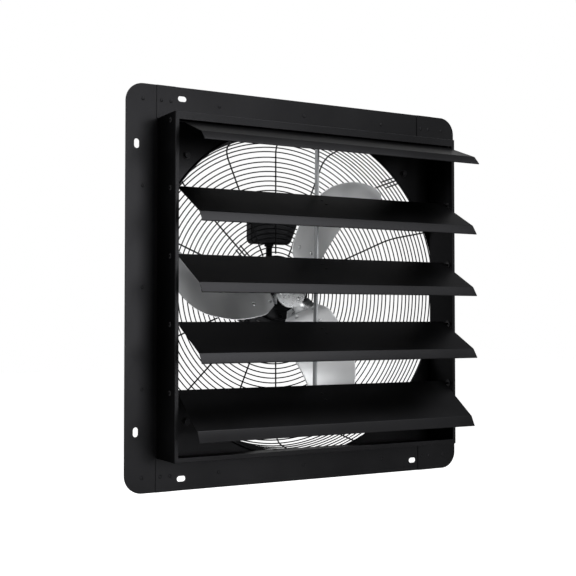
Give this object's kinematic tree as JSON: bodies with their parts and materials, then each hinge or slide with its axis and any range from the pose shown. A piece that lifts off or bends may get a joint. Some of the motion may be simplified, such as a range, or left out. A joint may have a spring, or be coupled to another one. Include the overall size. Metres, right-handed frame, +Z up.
{
  "type": "shutter exhaust fan",
  "caption": "Wall exhaust fan with gravity louvers on a square flange, a bladed rotor and a wire guard that carries the motor.",
  "frame": {"origin": "middle of the wall opening, in the plane where the back of the flange bears on the wall", "axes": "+X right as seen by someone facing the louvers, -Y out of the louvers, +Y along the shaft towards the motor, +Z up"},
  "size_m": [0.711, 0.3728, 0.711],
  "materials": {
    "black_sheet": "satin black powder coat",
    "black_wire": "satin black powder coat on wire",
    "motor_black": "satin black enamel",
    "blade_aluminium": "satin rolled sheet",
    "bare_steel": "zinc plated",
    "bar_steel": "dull zinc plated",
    "lamination": "dull",
    "black_plastic": "matt"
  },
  "bodies": {
    "frame": {"panel_rim": "black_sheet", "orifice_panel": "black_sheet", "shutter_side_left": "black_sheet", "shutter_side_right": "black_sheet", "shutter_top": "black_sheet", "shutter_bottom": "black_sheet", "tab_rivets": "black_sheet", "flange_rivets": "black_sheet", "pivot_bushes": "black_plastic", "guard_spokes": "black_wire", "guard_face_rings": "black_wire", "guard_wall_rings": "black_wire", "guard_feet": "black_wire", "guard_bolts": "bare_steel", "guard_mount_loops": "black_wire", "motor_mount_plate": "motor_black", "motor_mount_bolts": "bare_steel", "motor_front_bell": "motor_black", "motor_shell": "motor_black", "motor_rear_bell": "motor_black", "front_bearing": "bare_steel", "rear_bearing": "bare_steel", "motor_stator": "lamination", "motor_screws": "bare_steel", "wiring_box": "motor_black", "wiring_cover": "motor_black", "cover_screws": "bare_steel", "wiring_nipple": "bare_steel", "cable_gland": "black_plastic"},
    "rotor": {"shaft": "bare_steel", "rotor_core": "lamination", "hub": "bare_steel", "spider": "bare_steel", "fan_blade_1": "blade_aluminium", "fan_blade_2": "blade_aluminium", "fan_blade_3": "blade_aluminium", "blade_rivets": "bare_steel", "hub_rivets": "bare_steel", "set_screw": "bare_steel"},
    "louver_1": {"louver_1": "black_sheet", "louver_1_pins": "bare_steel", "louver_1_crank": "bare_steel", "louver_1_rivets": "bare_steel"},
    "louver_2": {"louver_2": "black_sheet", "louver_2_pins": "bare_steel", "louver_2_crank": "bare_steel", "louver_2_rivets": "bare_steel"},
    "louver_3": {"louver_3": "black_sheet", "louver_3_pins": "bare_steel", "louver_3_crank": "bare_steel", "louver_3_rivets": "bare_steel"},
    "louver_4": {"louver_4": "black_sheet", "louver_4_pins": "bare_steel", "louver_4_crank": "bare_steel", "louver_4_rivets": "bare_steel"},
    "louver_5": {"louver_5": "black_sheet", "louver_5_pins": "bare_steel", "louver_5_crank": "bare_steel", "louver_5_rivets": "bare_steel"},
    "tie_bar": {"tie_bar": "bar_steel"}
  },
  "joints": [
    {"name": "fan_spin", "type": "hinge", "parent": "frame", "child": "rotor", "pos_m": [0, 0.0604, 0], "axis": [0, 1, 0], "continuous": true},
    {"name": "louver_1_swing", "type": "hinge", "parent": "frame", "child": "louver_1", "pos_m": [0, -0.0604, 0.284], "axis": [1, 0, 0], "range_deg": [-4.64, 64.02]},
    {"name": "louver_2_swing", "type": "hinge", "parent": "frame", "child": "louver_2", "pos_m": [0, -0.0604, 0.1679], "axis": [1, 0, 0], "range_deg": [-4.02, 55.42]},
    {"name": "louver_3_swing", "type": "hinge", "parent": "frame", "child": "louver_3", "pos_m": [0, -0.0604, 0.0518], "axis": [1, 0, 0], "range_deg": [-4, 55.4]},
    {"name": "louver_4_swing", "type": "hinge", "parent": "frame", "child": "louver_4", "pos_m": [0, -0.0604, -0.0643], "axis": [1, 0, 0], "range_deg": [-4.02, 55.42]},
    {"name": "louver_5_swing", "type": "hinge", "parent": "frame", "child": "louver_5", "pos_m": [0, -0.0604, -0.1804], "axis": [1, 0, 0], "range_deg": [-2.89, 39.72]},
    {"name": "tie_bar_pin", "type": "hinge", "parent": "louver_3", "child": "tie_bar", "pos_m": [0.002, -0.046, 0.03972], "axis": [1, 0, 0], "range_deg": [-55.5, 4.1]}
  ],
  "couplings": [
    {"joint": "louver_1_swing", "follows": "louver_3_swing", "ratio": 1.1552},
    {"joint": "louver_2_swing", "follows": "louver_3_swing", "ratio": 1},
    {"joint": "louver_4_swing", "follows": "louver_3_swing", "ratio": 1},
    {"joint": "louver_5_swing", "follows": "louver_3_swing", "ratio": 0.71661},
    {"joint": "tie_bar_pin", "follows": "louver_3_swing", "ratio": -1}
  ]
}
